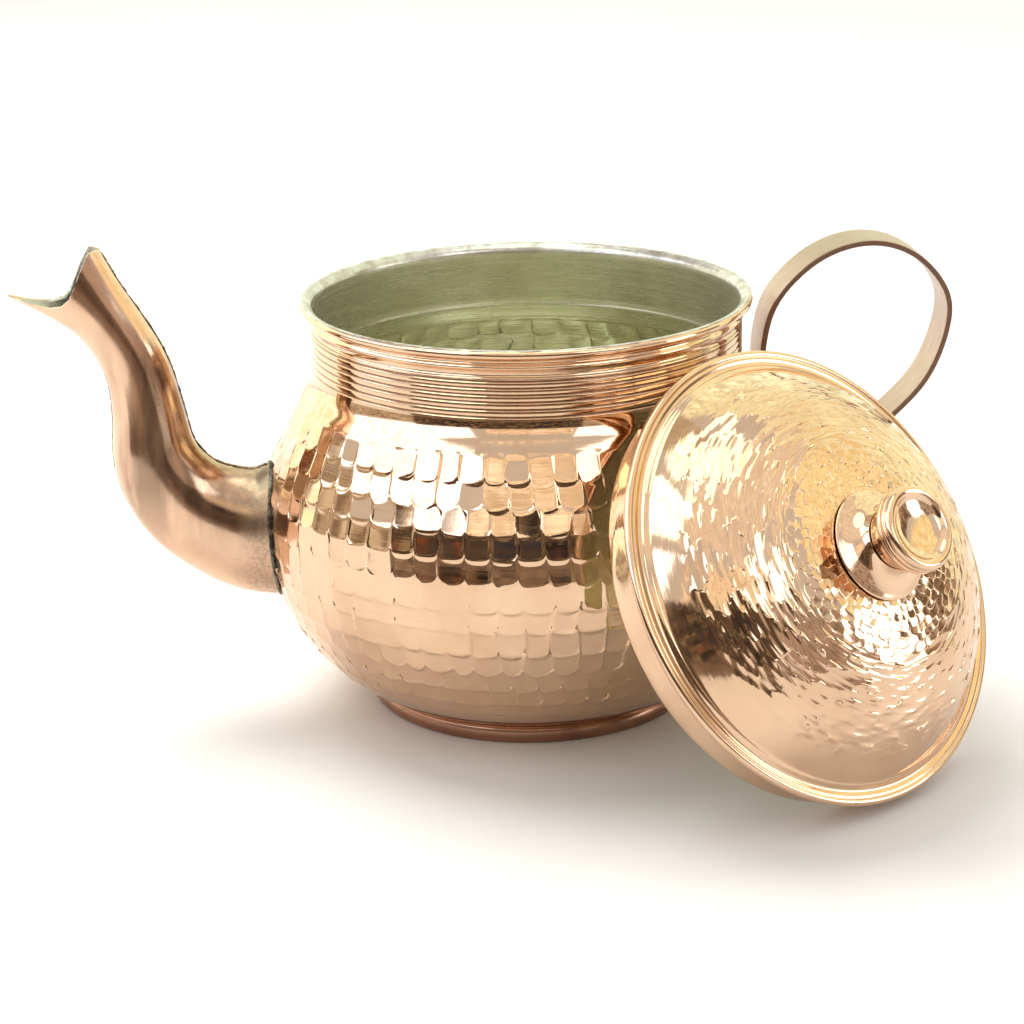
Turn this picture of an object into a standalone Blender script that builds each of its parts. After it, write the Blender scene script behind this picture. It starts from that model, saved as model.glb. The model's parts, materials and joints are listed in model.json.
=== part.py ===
"""A hammered copper teapot with its lid off and leaning against it.

The origin is on the pot's axis at the underside of its base. Z is up, the spout points along -X and the
handle along +X. The lid stands on its edge in front of the handle, its hollow side turned to the pot.
"""

import math

import bmesh
import bpy
from mathutils import Matrix, Vector

MM = 0.001
STEPS = 48

# Pot
WALL = 0.9
GAP = 0.3
NECK_RADIUS = 64.9
NECK_BORE = 64.0
RIM_BEAD_RADIUS = 1.35
RIM_BEAD_CENTRE = (66.65, 124.35)
GROOVE_HEIGHTS = (105.7, 107.9, 110.1, 112.2, 114.2, 116.2)
GROOVE_DEPTH = 0.4
GROOVE_HALF_WIDTH = 0.3
BELLY = (
    (103.4, 65.9), (99.5, 67.8), (94.0, 70.2), (87.0, 73.5), (78.5, 77.2), (69.0, 80.1), (58.0, 81.3),
    (47.0, 80.1), (36.5, 77.2), (27.0, 72.6), (19.0, 66.9), (12.5, 60.4), (8.2, 54.6), (6.0, 50.2),
)
BASE_SOCKET_RADIUS = 48.3
BASE_THICKNESS = 1.0
BASE_BAND = ((5.3, 48.9), (4.4, 49.6), (2.6, 49.9), (1.0, 49.5), (0.0, 48.6))
STRAINER_RING_RADIUS = 9.5
STRAINER_HOLE_RADIUS = 2.9
STRAINER_HEIGHT = 56.0

# Spout: (distance from the pot's axis, height, half height, half width) of sections along its centre line
SPOUT = (
    (66.0, 56.0, 20.5, 15.5), (80.5, 56.2, 20.3, 15.4), (90.6, 58.1, 18.2, 14.3), (104.9, 66.8, 15.4, 12.8),
    (112.8, 80.4, 12.9, 11.5), (114.2, 94.4, 10.8, 10.4), (116.8, 108.7, 9.6, 9.4), (122.5, 120.2, 9.3, 8.8),
    (130.0, 130.2, 10.7, 8.3), (145.2, 147.0, 17.6, 7.7),
)
SPOUT_SECTION_POINTS = 20
SPOUT_WALL = 0.9
MOUTH_EDGE = (
    (120.0, 145.4), (128.9, 144.9), (131.7, 139.6), (133.7, 134.9), (135.4, 131.6), (137.6, 129.7),
    (141.1, 129.2), (146.9, 130.2), (152.5, 132.2), (170.0, 134.0), (170.0, 175.0), (120.0, 175.0),
)
SEAM_RADIUS = 0.5
SOLDER_RADIUS = 0.9

# Handle: (distance from the pot's axis, height) of points along the strap, from the shoulder to the belly
STRAP_WIDTH = 16.0
STRAP_THICKNESS = 1.8
STRAP_LINE = (
    (78.3, 79.0), (74.2, 88.4), (71.3, 96.8), (71.2, 107.0), (75.1, 121.4), (88.4, 134.0), (104.1, 138.1),
    (118.1, 133.5), (127.8, 121.8), (128.1, 110.0), (122.4, 95.1), (112.0, 83.9), (98.8, 73.0), (87.3, 65.6),
    (82.65, 57.4), (81.35, 47.0), (79.9, 41.4),
)
RIVET_SHANK_RADIUS = 1.7
RIVET_HEAD_RADIUS = 3.2
RIVET_HEIGHTS = {"upper_a": 89.6, "upper_b": 83.0, "lower_a": 53.0, "lower_b": 46.0}

# Lid, in its own frame: heights along its axis from the middle of its edge bead
LID_CENTRE = (70.2, -82.9, 60.85)
LID_AZIMUTH = -53.2
LID_ELEVATION = 31.0
LID_BEAD_CENTRE_RADIUS = 66.0
LID_BEAD_RADIUS = 1.2
LID_WALL = 0.9
LID_SKIRT_RADIUS = 63.3
LID_SKIRT_DEPTH = 12.4
DOME_RADIUS = 62.2
DOME_HEIGHT = 26.6
DOME_POWER = 3.6
DOME_RINGS = (58.5, 53.5, 47.5, 40.5, 32.0, 22.0)
SCREW_HOLE_RADIUS = 2.4

COLLAR = ((0.3, 15.8), (0.9, 15.9), (1.7, 13.9), (3.0, 11.6), (4.6, 10.0), (6.3, 9.1))
COLLAR_WALL = 1.0
HEAD = (
    (6.6, 8.6), (9.0, 8.6), (10.6, 9.3), (12.0, 11.0), (12.8, 12.1), (13.5, 12.3), (14.0, 12.0), (14.5, 12.3),
    (15.3, 12.3), (15.8, 12.0), (16.3, 12.2), (17.2, 11.8), (17.7, 10.9), (17.4, 9.6), (16.4, 8.3), (15.7, 6.0),
)

COPPER = (0.83, 0.42, 0.28)
TIN = (0.56, 0.56, 0.50)


def clear_scene():
    for obj in list(bpy.data.objects):
        bpy.data.objects.remove(obj, do_unlink=True)
    for collection in list(bpy.data.collections):
        bpy.data.collections.remove(collection)


def new_collection(name, hidden=False):
    collection = bpy.data.collections.new(name)
    bpy.context.scene.collection.children.link(collection)
    collection.hide_render = hidden
    return collection


def material(name, colour, roughness):
    made = bpy.data.materials.new(name)
    made.use_nodes = True
    shader = made.node_tree.nodes["Principled BSDF"]
    shader.inputs["Base Color"].default_value = (*colour, 1.0)
    shader.inputs["Metallic"].default_value = 1.0
    shader.inputs["Roughness"].default_value = roughness
    return made


def mesh_object(name, points, faces, collection, edges=()):
    mesh = bpy.data.meshes.new(name)
    mesh.from_pydata([Vector(point) * MM for point in points], edges, faces)
    mesh.update()
    obj = bpy.data.objects.new(name, mesh)
    collection.objects.link(obj)
    return obj


def made_solid(obj):
    """Turns an object's modifiers or curve into plain faces."""
    bpy.context.view_layer.update()
    graph = bpy.context.evaluated_depsgraph_get()
    mesh = bpy.data.meshes.new_from_object(obj.evaluated_get(graph))
    work = bmesh.new()
    work.from_mesh(mesh)
    bmesh.ops.remove_doubles(work, verts=work.verts, dist=1e-6)
    work.to_mesh(mesh)
    work.free()
    if obj.type == "MESH":
        obj.modifiers.clear()
        obj.data = mesh
        return obj
    name, collection, place = obj.name, obj.users_collection[0], obj.matrix_world.copy()
    bpy.data.objects.remove(obj, do_unlink=True)
    solid = bpy.data.objects.new(name, mesh)
    solid.matrix_world = place
    collection.objects.link(solid)
    return solid


def turned(name, profile, collection, closed=True, steps=STEPS):
    """A solid turned about Z. The profile runs down its outer side, then back up its inner side or the axis."""
    points = [(radius, 0.0, height) for height, radius in profile]
    edges = [(i, i + 1) for i in range(len(points) - 1)]
    if closed:
        edges.append((len(points) - 1, 0))
    obj = mesh_object(name, points, [], collection, edges)
    screw = obj.modifiers.new("Turn", "SCREW")
    screw.axis = "Z"
    screw.angle = math.tau
    screw.steps = steps
    screw.render_steps = steps
    screw.use_merge_vertices = True
    screw.merge_threshold = 1e-6
    return made_solid(obj)


def offset(line, distance):
    """A line of (height, radius) moved sideways: a positive distance is outwards where the line runs down."""
    moved = []
    for i, (height, radius) in enumerate(line):
        before = line[max(i - 1, 0)]
        after = line[min(i + 1, len(line) - 1)]
        down, out = before[0] - after[0], after[1] - before[1]
        length = math.hypot(down, out)
        moved.append((height + distance * out / length, radius + distance * down / length))
    return moved


def boolean(obj, cutter, operation="DIFFERENCE"):
    modifier = obj.modifiers.new("Cut", "BOOLEAN")
    modifier.object = cutter
    modifier.operation = operation
    modifier.solver = "EXACT"
    return made_solid(obj)


def cylinder(name, radius, low, high, collection, steps=12):
    return turned(name, [(high, 0.0), (high, radius), (low, radius), (low, 0.0)], collection, False, steps)


def aimed(obj, place, direction):
    """Puts an object's own Z along a direction, with its origin at a place in millimetres."""
    turn = Vector(direction).to_track_quat("Z", "Y").to_matrix().to_4x4()
    obj.matrix_world = Matrix.Translation(Vector(place) * MM) @ turn
    return obj


def smooth(stations, per_span=2):
    """A Catmull-Rom curve through rows of numbers, which keeps every row and adds others between them."""
    rows = []
    for i in range(len(stations) - 1):
        before, start = stations[max(i - 1, 0)], stations[i]
        end, after = stations[i + 1], stations[min(i + 2, len(stations) - 1)]
        for step in range(per_span):
            t = step / per_span
            rows.append(tuple(
                b + 0.5 * t * ((c - a) + t * (2 * a - 5 * b + 4 * c - d + t * (3 * (b - c) + d - a)))
                for a, b, c, d in zip(before, start, end, after)
            ))
    return rows + [stations[-1]]


def flat_outline(name, outline, half_width, collection):
    """A flat outline in the XZ plane, as thick as twice half_width across Y."""
    count = len(outline)
    points = [(x, -half_width, z) for x, z in outline] + [(x, half_width, z) for x, z in outline]
    sides = [(i, (i + 1) % count, (i + 1) % count + count, i + count) for i in range(count)]
    ends = [tuple(range(count - 1, -1, -1)), tuple(range(count, 2 * count))]
    obj = mesh_object(name, points, sides + ends, collection)
    work = bmesh.new()
    work.from_mesh(obj.data)
    bmesh.ops.recalc_face_normals(work, faces=work.faces)
    bmesh.ops.triangulate(work, faces=[face for face in work.faces if len(face.verts) > 4])
    work.to_mesh(obj.data)
    work.free()
    return obj


def belly_radius(height, out=0.0):
    """Radius of the pot's outer surface at a height, moved out square to the surface."""
    line = offset(BELLY, out) if out else BELLY
    for (upper, upper_radius), (lower, lower_radius) in zip(line, line[1:]):
        if lower <= height <= upper:
            share = (height - lower) / (upper - lower)
            return lower_radius + share * (upper_radius - lower_radius)
    raise ValueError(f"height {height} is off the belly")


def belly_normal(height):
    """Outward direction (along the radius, up) of the pot's outer surface at a height."""
    slope = (belly_radius(height + 1.0) - belly_radius(height - 1.0)) / 2.0
    length = math.hypot(1.0, slope)
    return 1.0 / length, -slope / length


def neck_profile():
    """The neck's outer side with its turned grooves, from under the rim bead down to the shoulder."""
    profile = [(121.7, 64.9), (120.3, 65.4), (119.2, 64.7), (118.0, 64.3), (117.2, NECK_RADIUS)]
    for height in reversed(GROOVE_HEIGHTS):
        profile.append((height + GROOVE_HALF_WIDTH, NECK_RADIUS))
        profile.append((height, NECK_RADIUS - GROOVE_DEPTH))
        profile.append((height - GROOVE_HALF_WIDTH, NECK_RADIUS))
    return profile


def rim_bead():
    centre_radius, centre_height = RIM_BEAD_CENTRE
    angles = [130, 90, 45, 0, -45, -90, -125]
    return [
        (centre_height + RIM_BEAD_RADIUS * math.sin(math.radians(a)),
         centre_radius + RIM_BEAD_RADIUS * math.cos(math.radians(a)))
        for a in angles
    ]


def make_pot_body(collection, cutters):
    socket = [(5.7, BASE_SOCKET_RADIUS), (BASE_THICKNESS + GAP, BASE_SOCKET_RADIUS)]
    outer = rim_bead() + neck_profile() + list(BELLY) + socket
    inner_socket = [(BASE_THICKNESS + GAP, BASE_SOCKET_RADIUS - WALL), (5.6, BASE_SOCKET_RADIUS - WALL)]
    inner = inner_socket + list(reversed(offset(BELLY, -WALL)[:-1])) + [(105.6, NECK_BORE), (121.8, NECK_BORE)]
    body = turned("pot_body", outer + inner, collection)
    for index in range(7):
        angle = math.radians(60 * index)
        out = 0.0 if index == 6 else STRAINER_RING_RADIUS
        drill = cylinder(f"strainer_drill_{index}", STRAINER_HOLE_RADIUS, 60.0, 95.0, cutters, steps=10)
        place = (0.0, out * math.sin(angle), STRAINER_HEIGHT + out * math.cos(angle))
        body = boolean(body, aimed(drill, place, (-1.0, 0.0, 0.0)))
    return body


def make_base_plate(collection):
    bore = BASE_SOCKET_RADIUS + GAP
    inside = [(0.0, 0.0), (BASE_THICKNESS, 0.0), (BASE_THICKNESS, bore), (BASE_BAND[0][0], bore)]
    profile = list(BASE_BAND) + inside
    return turned("base_plate", profile, collection)


def spout_sections(shrink=0.0):
    """Rings of points round the spout's centre line, each square to it."""
    stations = smooth(SPOUT)
    rings = []
    for i, (x, z, half_height, half_width) in enumerate(stations):
        before = stations[max(i - 1, 0)]
        after = stations[min(i + 1, len(stations) - 1)]
        along = Vector((after[0] - before[0], after[1] - before[1])).normalized()
        ring = []
        for step in range(SPOUT_SECTION_POINTS):
            angle = math.tau * (step + 0.5) / SPOUT_SECTION_POINTS
            up = (half_height - shrink) * math.cos(angle)
            side = (half_width - shrink) * math.sin(angle)
            ring.append((-(x - up * along.y), side, z + up * along.x))
        rings.append(ring)
    return rings


def make_tube(name, collection):
    """The whole spout as one pipe, before it is cut to shape and split."""
    rings = spout_sections() + list(reversed(spout_sections(SPOUT_WALL)))
    count = SPOUT_SECTION_POINTS
    points = [point for ring in rings for point in ring]
    faces = []
    for i in range(len(rings)):
        first, second = i * count, ((i + 1) % len(rings)) * count
        for j in range(count):
            k = (j + 1) % count
            faces.append((first + j, first + k, second + k, second + j))
    obj = mesh_object(name, points, faces, collection)
    work = bmesh.new()
    work.from_mesh(obj.data)
    bmesh.ops.recalc_face_normals(work, faces=work.faces)
    work.to_mesh(obj.data)
    work.free()
    return obj


def belly_plug(name, cutters):
    """A solid as big as the belly and a gap more, which trims the spout's root to the pot."""
    line = offset(BELLY, GAP)
    profile = [(line[0][0], 0.0)] + line + [(line[-1][0], 0.0)]
    return turned(name, profile, cutters, False)


def make_spout_half(name, side, collection, cutters):
    half = make_tube(name, collection)
    half = boolean(half, belly_plug(f"{name}_root_cutter", cutters))
    mouth = flat_outline(f"{name}_mouth_cutter", [(-x, z) for x, z in MOUTH_EDGE], 30.0, cutters)
    half = boolean(half, mouth)
    rest = [(-60.0, 20.0), (-60.0, 170.0), (-180.0, 170.0), (-180.0, 20.0)]
    other = flat_outline(f"{name}_split_cutter", rest, 30.0, cutters)
    other.location.y = -side * (30.0 - GAP / 2) * MM
    return boolean(half, other)


def line_tube(name, points, radius, collection, cyclic=False, resolution=1):
    curve = bpy.data.curves.new(name, "CURVE")
    curve.dimensions = "3D"
    curve.bevel_depth = radius * MM
    curve.bevel_resolution = resolution
    curve.use_fill_caps = not cyclic
    spline = curve.splines.new("POLY")
    spline.points.add(len(points) - 1)
    for target, point in zip(spline.points, points):
        target.co = (*(Vector(point) * MM), 1.0)
    spline.use_cyclic_u = cyclic
    obj = bpy.data.objects.new(name, curve)
    collection.objects.link(obj)
    return made_solid(obj)


def make_seam(name, side, first, last, collection):
    """The bead of solder along the ridge where the halves of the spout meet: side is 1 for the upper ridge."""
    stations = smooth(SPOUT)
    points = []
    for i in range(first, last):
        x, z, half_height, _ = stations[i]
        before, after = stations[i - 1], stations[min(i + 1, len(stations) - 1)]
        along = Vector((after[0] - before[0], after[1] - before[1])).normalized()
        out = side * (half_height + GAP + SEAM_RADIUS)
        points.append((-(x - out * along.y), 0.0, z + out * along.x))
    return line_tube(name, points, SEAM_RADIUS, collection)


def make_solder_ring(collection):
    """The fillet of solder round the spout's root."""
    away = SOLDER_RADIUS + GAP
    _, centre, half_height, half_width = SPOUT[0]
    points = []
    for step in range(40):
        angle = math.tau * step / 40
        height = centre + (half_height + away) * math.cos(angle)
        side = (half_width + away) * math.sin(angle)
        radius = belly_radius(height, away + 0.25)
        points.append((-math.sqrt(radius**2 - side**2), side, height))
    return line_tube("spout_solder", points, SOLDER_RADIUS, collection, cyclic=True)


def make_strap(collection):
    half = STRAP_THICKNESS / 2
    flipped = [(z, x) for x, z in smooth(STRAP_LINE)]
    one_side = [(x, z) for z, x in offset(flipped, half)]
    other_side = [(x, z) for z, x in offset(flipped, -half)]
    strap = flat_outline("handle_strap", one_side + list(reversed(other_side)), STRAP_WIDTH / 2, collection)
    bevel = strap.modifiers.new("Edges", "BEVEL")
    bevel.width = 0.3 * MM
    bevel.segments = 1
    bevel.limit_method = "ANGLE"
    bevel.angle_limit = math.radians(60)
    return made_solid(strap)


def make_rivet(name, height, collection):
    """A rivet through the strap and the pot's wall, in its own frame from the wall's outer face."""
    head_low = STRAP_THICKNESS + 2 * GAP + 0.15
    tail = -WALL - GAP - 0.1
    profile = [
        (head_low + 1.5, 0.0), (head_low + 1.35, 1.5), (head_low + 0.85, 2.6), (head_low, RIVET_HEAD_RADIUS),
        (head_low, RIVET_SHANK_RADIUS), (tail, RIVET_SHANK_RADIUS), (tail, 2.9), (tail - 0.9, 2.5), (tail - 1.1, 0.0),
    ]
    rivet = turned(name, profile, collection, False, 16)
    along, up = belly_normal(height)
    return aimed(rivet, (belly_radius(height), 0.0, height), (along, 0.0, up))


def drill_for_rivets(obj, cutters):
    for name, height in RIVET_HEIGHTS.items():
        drill = cylinder(f"{obj.name}_{name}_drill", RIVET_SHANK_RADIUS + GAP, -6.0, 8.0, cutters, steps=16)
        along, up = belly_normal(height)
        obj = boolean(obj, aimed(drill, (belly_radius(height), 0.0, height), (along, 0.0, up)))
    return obj


def dome_height(radius):
    return 0.6 + DOME_HEIGHT * (1.0 - (radius / DOME_RADIUS) ** DOME_POWER)


def make_lid_shell(collection):
    dome = [(dome_height(SCREW_HOLE_RADIUS), SCREW_HOLE_RADIUS), (dome_height(12.0), 12.0)]
    dome += [(dome_height(r), r) for r in reversed(DOME_RINGS)] + [(2.6, 61.6), (0.6, 62.9)]
    bead = [
        (LID_BEAD_RADIUS * math.sin(math.radians(a)),
         LID_BEAD_CENTRE_RADIUS + LID_BEAD_RADIUS * math.cos(math.radians(a)))
        for a in (150, 90, 45, 0, -45, -90, -140)
    ]
    skirt_bore = LID_SKIRT_RADIUS - LID_WALL
    skirt = [(-1.0, LID_SKIRT_RADIUS), (-LID_SKIRT_DEPTH, LID_SKIRT_RADIUS), (-LID_SKIRT_DEPTH, skirt_bore)]
    inside = [(-1.2, skirt_bore)] + list(reversed(offset(dome, -LID_WALL)[:-2]))
    return turned("lid_shell", dome + bead + skirt + inside, collection)


def make_collar(collection):
    top = dome_height(12.0)
    outer = [(top + h, r) for h, r in reversed(COLLAR)]
    inner = [(top + h, r - COLLAR_WALL) for h, r in COLLAR[:1] + COLLAR[2:-1]]
    inner.append((outer[0][0] - COLLAR_WALL, COLLAR[-1][1] - COLLAR_WALL))
    hole = [(inner[-1][0], SCREW_HOLE_RADIUS), (outer[0][0], SCREW_HOLE_RADIUS)]
    return turned("knob_collar", outer + inner + hole, collection, steps=40)


def make_head(collection):
    top = dome_height(12.0)
    outer = [(top + h, r) for h, r in reversed(HEAD)]
    bore = [(top + HEAD[0][0], SCREW_HOLE_RADIUS), (top + 12.0, SCREW_HOLE_RADIUS), (top + 12.0, 0.0)]
    return turned("knob_head", [(outer[0][0], 0.0)] + outer + bore, collection, False, 40)


def make_screw(collection):
    top = dome_height(SCREW_HOLE_RADIUS)
    washer_low = top - LID_WALL - GAP - 1.0
    head_top = washer_low - GAP
    profile = [
        (top + 11.5, 0.0), (top + 11.5, 2.0), (head_top, 2.0), (head_top, 4.0), (head_top - 1.6, 4.0),
        (head_top - 2.2, 3.4), (head_top - 2.2, 0.0),
    ]
    return turned("knob_screw", profile, collection, False, 20)


def make_washer(collection):
    high = dome_height(SCREW_HOLE_RADIUS) - LID_WALL - GAP
    profile = [(high, SCREW_HOLE_RADIUS), (high, 6.0), (high - 1.0, 6.0), (high - 1.0, SCREW_HOLE_RADIUS)]
    return turned("knob_washer", profile, collection, steps=20)


def lid_frame(collection):
    """An empty whose Z is the lid's axis, at the middle of its edge bead."""
    azimuth, elevation = math.radians(LID_AZIMUTH), math.radians(LID_ELEVATION)
    axis = Vector((
        math.cos(elevation) * math.cos(azimuth),
        math.cos(elevation) * math.sin(azimuth),
        math.sin(elevation),
    ))
    empty = bpy.data.objects.new("lid_frame", None)
    collection.objects.link(empty)
    return aimed(empty, LID_CENTRE, axis)


def finish(obj, look):
    obj.data.materials.clear()
    obj.data.materials.append(look)
    obj.data.shade_smooth()
    obj.data.set_sharp_from_angle(angle=math.radians(32))


def main():
    clear_scene()
    teapot = new_collection("copper_teapot")
    cutters = new_collection("cutters", hidden=True)

    pot = [drill_for_rivets(make_pot_body(teapot, cutters), cutters), make_base_plate(teapot)]
    pot.append(make_spout_half("spout_half_right", -1, teapot, cutters))
    pot.append(make_spout_half("spout_half_left", 1, teapot, cutters))
    pot.append(drill_for_rivets(make_strap(teapot), cutters))
    pot += [make_rivet(f"rivet_{name}", height, teapot) for name, height in RIVET_HEIGHTS.items()]
    solder = [
        make_solder_ring(teapot),
        make_seam("spout_seam_upper", 1, 3, 17, teapot),
        make_seam("spout_seam_lower", -1, 3, 18, teapot),
    ]
    frame = lid_frame(teapot)
    lid = [make_lid_shell(teapot), make_collar(teapot), make_head(teapot)]
    lid += [make_screw(teapot), make_washer(teapot)]
    for piece in lid:
        piece.parent = frame

    for piece in pot + lid:
        finish(piece, material(piece.name, COPPER, 0.2))
    for piece in solder:
        finish(piece, material(piece.name, TIN, 0.4))
    for cutter in cutters.objects:
        cutter.hide_render = True
        cutter.display_type = "WIRE"


main()
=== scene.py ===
"""The looks of a hammered copper teapot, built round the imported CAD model."""
import json
import math

import bmesh
import bpy
import numpy as np
from mathutils import Matrix, Vector


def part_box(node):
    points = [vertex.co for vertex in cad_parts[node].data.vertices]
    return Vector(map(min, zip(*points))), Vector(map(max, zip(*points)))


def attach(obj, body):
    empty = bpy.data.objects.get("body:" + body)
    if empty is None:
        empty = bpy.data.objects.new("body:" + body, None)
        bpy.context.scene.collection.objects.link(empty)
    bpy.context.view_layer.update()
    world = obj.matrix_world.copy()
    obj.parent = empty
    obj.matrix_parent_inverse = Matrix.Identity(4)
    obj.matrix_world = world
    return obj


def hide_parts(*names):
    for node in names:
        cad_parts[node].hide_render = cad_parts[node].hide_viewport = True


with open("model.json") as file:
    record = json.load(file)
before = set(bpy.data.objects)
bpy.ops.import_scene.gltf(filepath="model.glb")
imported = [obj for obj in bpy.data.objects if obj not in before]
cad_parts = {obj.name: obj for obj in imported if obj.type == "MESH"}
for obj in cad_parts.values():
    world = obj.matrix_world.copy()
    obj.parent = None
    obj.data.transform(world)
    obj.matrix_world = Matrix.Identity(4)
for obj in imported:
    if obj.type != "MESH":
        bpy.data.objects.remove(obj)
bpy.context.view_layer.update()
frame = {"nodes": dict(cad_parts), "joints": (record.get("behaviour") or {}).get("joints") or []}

MM = 0.001
RNG = np.random.default_rng(7)

# Pot: (height, radius) in millimetres
WALL = 0.9
RIM_CENTRE = (124.35, 66.65)
RIM_RADIUS = 1.35
NECK_RADIUS = 64.9
NECK_BORE = 64.0
LIP_RADIUS = 66.0
GROOVE_HEIGHTS = (116.2, 114.2, 112.2, 110.1, 107.9, 105.7)
GROOVE_DEPTH = 0.55
GROOVE_HALF_WIDTH = 0.40
# How far along and how deep a groove goes, as shares of its half width and its depth
GROOVE_SHAPE = (
    (-1.25, 0.0), (-1.0, 0.06), (-0.25, 0.92), (0.0, 1.0), (0.25, 0.92), (1.0, 0.06), (1.25, 0.0),
)
# The heights between which the grooves get painted shade, a darker colour where shade falls in them
GROOVED = (104.6, 117.5)
BELLY = (
    (104.3, 64.95), (102.9, 65.25), (101.5, 65.75), (99.8, 66.8), (97.0, 68.55), (94.0, 70.2),
    (87.0, 73.5), (78.5, 77.4), (69.0, 80.35), (59.0, 81.3), (47.0, 80.1), (36.5, 77.2),
    (27.0, 72.6), (19.0, 66.9), (12.5, 60.4), (8.2, 54.6), (6.0, 50.2),
)
BASE_BAND = ((5.3, 48.9), (4.4, 49.6), (2.6, 49.9), (1.0, 49.5), (0.0, 48.6))
BASE_SOCKET = 48.3
BASE_CUP_TOP = 5.3
BASE_THICKNESS = 1.0
HAMMERED_TOP = 95.8
HAMMERED_BOTTOM = 14.9
POT_COLUMNS = 528
POT_MARK_COLUMNS = 8
POT_MARK_BANDS = 12
LINING_MARKS = dict(
    columns=11, spread=0.12, jitter=0.8, scallop=2.4, rows=6, tilt_round=0.03, tilt_along=0.03,
    depth=0.12, bowl=0.012, ridge=0.12, lean=0.0,
)
# Where the dents seen from inside begin, by length along the belly, and how far they may stand out
SHOULDER = 4.0
INNER_STAND = 0.22
# Strainer: seven holes through the wall behind the spout, cut between two places along x
STRAINER_HEIGHT = 56.0
STRAINER_RING = 9.5
STRAINER_HOLE = 2.9
STRAINER_REACH = (-60.0, -95.0)

# Spout: (distance from the axis, height, half height, half width)
SPOUT = (
    (66.0, 56.0, 20.5, 15.5), (80.5, 56.2, 20.3, 15.4), (90.6, 58.1, 18.2, 14.3), (104.9, 66.8, 15.4, 12.8),
    (112.8, 80.4, 12.9, 11.5), (114.2, 94.4, 10.8, 10.4), (116.8, 108.7, 9.6, 9.4),
    (122.5, 120.2, 9.3, 8.8), (130.0, 130.2, 10.7, 8.3), (145.2, 147.0, 17.6, 7.7),
)
SPOUT_WALL = 0.9
SPOUT_COLUMNS = 61
MOUTH_EDGE = (
    (110.0, 145.4), (128.9, 144.9), (131.7, 139.6), (133.7, 134.9), (135.4, 131.6), (137.6, 129.7),
    (141.1, 129.2), (146.9, 130.2), (152.5, 132.2), (170.0, 134.0),
)
# The spout's sides only meet the mouth's edge above this height.
MOUTH_FLOOR = 110.0
# Seams: name, look, column of the spout, radius, how much that varies, and how far they are raised
SEAMS = (
    ("upper", "flux", 0, 0.34, 0.15, 0.0),
    ("lower", "seam", -1, 0.26, 0.05, -0.05),
)

# Handle
STRAP_WIDTH = 16.0
STRAP_THICKNESS = 1.8
STRAP_LINE = (
    (78.3, 79.0), (74.2, 88.4), (71.3, 96.8), (71.2, 107.0), (75.1, 121.4), (88.4, 134.0), (104.1, 138.1),
    (118.1, 133.5), (127.8, 121.8), (128.1, 110.0), (122.4, 95.1), (112.0, 83.9), (98.8, 73.0),
    (87.3, 65.6), (82.65, 57.4), (81.35, 47.0), (79.9, 41.4),
)
STRAP_ROUNDING = 5.0
# Rivets: (height, radius) from where the head and the tail sit on the sheet
RIVET_HEAD = ((1.5, 0.0), (1.47, 0.8), (1.35, 1.5), (0.85, 2.6), (0.4, 3.05), (0.0, 3.2), (0.0, 1.7))
RIVET_TAIL = ((0.0, 1.7), (0.0, 2.9), (-0.5, 2.8), (-0.9, 2.4), (-1.1, 0.0))

# Lid, in its own frame: heights along its axis from the middle of its edge bead
LID_BEAD_CENTRE = 66.0
LID_BEAD_RADIUS = 1.2
LID_SKIRT_RADIUS = 63.3
# Its skirt, outside and then inside: (height, how far outside the skirt's radius)
LID_SKIRT = (
    (-1.9, 0.05), (-3.0, -0.1), (-6.0, -0.15), (-9.0, -0.05), (-11.8, 0.0), (-12.4, -0.15),
    (-12.4, -0.75), (-11.9, -0.85), (-1.0, -0.8),
)
LID_SKIRT_TIN = ((-1.2, -0.86), (-11.9, -0.9), (-11.8, -0.98), (-1.4, -0.98))
LID_BORE = 2.4
LID_COLUMNS = 560
LID_GROOVE = (
    (2.0, 61.9), (1.2, 62.25), (0.75, 62.8), (0.7, 63.3), (0.85, 63.9), (1.0, 64.5), (0.95, 64.85),
)
# Round dents in the middle of the dome, and narrow rings of planishing marks outside them
DENTS = dict(
    columns=13, spread=0.25, jitter=1.5, scallop=0.8, rows=6, tilt_round=0.028, tilt_along=0.028,
    depth=0.03, bowl=0.012, ridge=0.0, lean=0.0,
)
PLANISHING = dict(spread=0.25, jitter=1.0, scallop=0.12, rows=3, depth=0.015, bowl=0.0008, ridge=0.0)
DOME_RADIUS = 62.2
DOME_HEIGHT = 26.6
DOME_POWER = 3.6
COLLAR = ((0.3, 15.8), (0.9, 15.9), (1.7, 13.9), (3.0, 11.6), (4.6, 10.0), (6.3, 9.1))
HEAD = (
    (6.6, 8.6), (9.0, 8.6), (10.6, 9.3), (12.0, 11.0), (12.8, 12.1), (13.5, 12.3), (14.0, 12.0),
    (14.5, 12.3), (15.3, 12.3), (15.8, 12.0), (16.3, 12.2), (17.2, 11.8), (17.7, 10.9),
    (17.4, 9.6), (16.4, 8.3), (15.7, 6.0),
)

# Colours
COPPER = (0.78, 0.545, 0.37)
COPPER_DEEP = (0.69, 0.455, 0.295)
PIT = (0.16, 0.08, 0.05)
GROOVE_SHADE = (0.20, 0.10, 0.06)
TIN = ((0.76, 0.745, 0.57), (0.62, 0.60, 0.43), (0.85, 0.84, 0.73))
SPOUT_TIN = ((0.44, 0.43, 0.35), (0.30, 0.29, 0.23), (0.58, 0.57, 0.49))
RUBBED = (0.66, 0.635, 0.58)
RUBBED_DARK = (0.42, 0.385, 0.33)
RUBBED_FROM = 0.1232


# ---- shapes

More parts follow.
